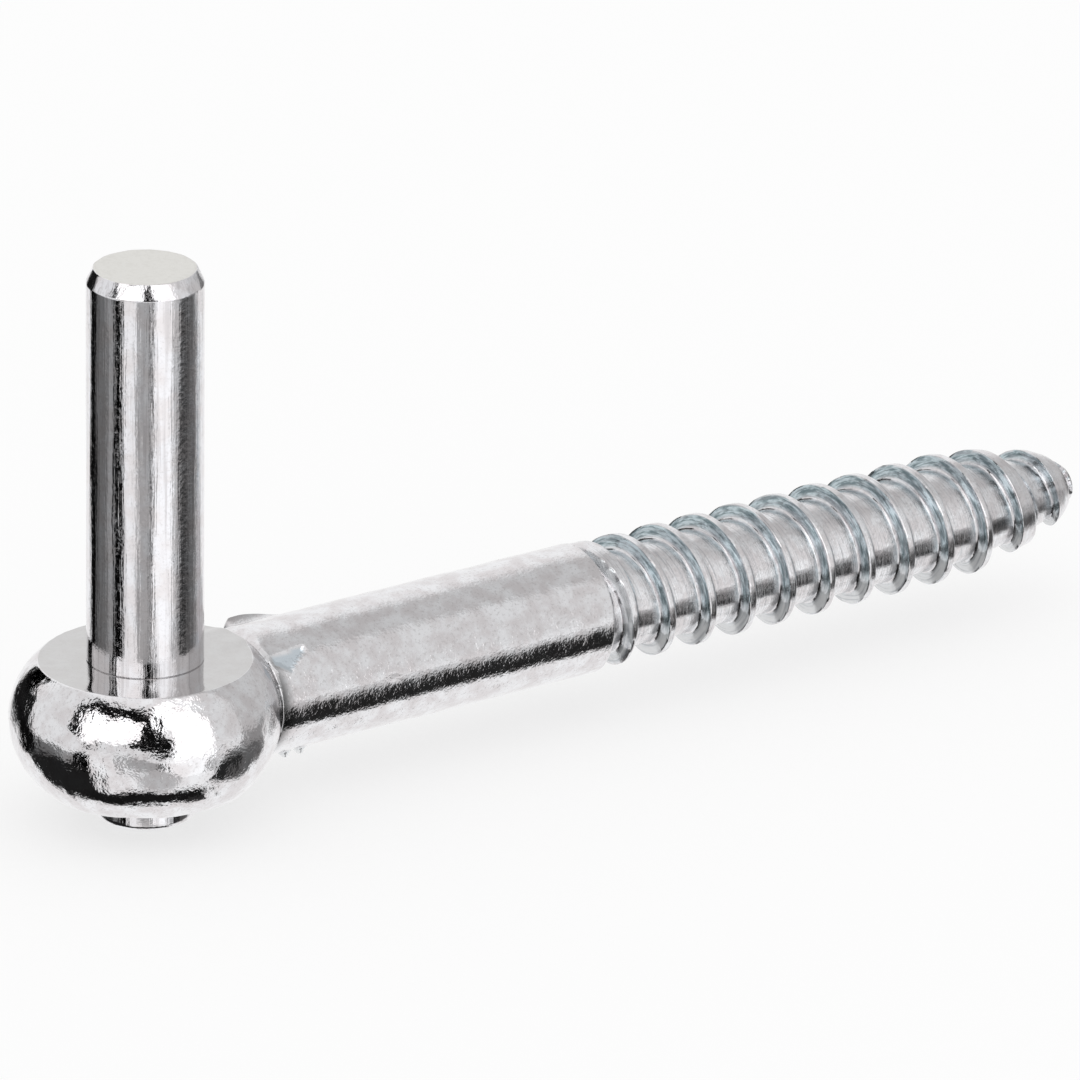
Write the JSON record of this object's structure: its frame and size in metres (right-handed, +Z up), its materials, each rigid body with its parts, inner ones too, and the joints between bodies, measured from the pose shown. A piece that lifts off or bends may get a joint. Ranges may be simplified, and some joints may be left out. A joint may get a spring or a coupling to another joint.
{
  "type": "screw-in gate pintle",
  "caption": "Screw-in pintle: a forged eye on a coach-screw shank holds an upright round pin that a gate's strap hinge turns on.",
  "frame": {"origin": "where the pin's axis meets the eye's upper flat, which is the seat that a hinge strap turns on", "axes": "+Z up the pin, +X along the screw from the eye to the tip"},
  "size_m": [0.1531, 0.0326, 0.0692],
  "materials": {
    "forged_zinc": "bright zinc plate on a forged and machined steel eye screw, uneven and mirror-like",
    "drawn_zinc": "bright zinc plate on drawn steel bar, smooth with fine lengthwise streaks"
  },
  "bodies": {
    "root": {"eye_screw": "forged_zinc", "pintle_pin": "drawn_zinc"}
  },
  "joints": []
}
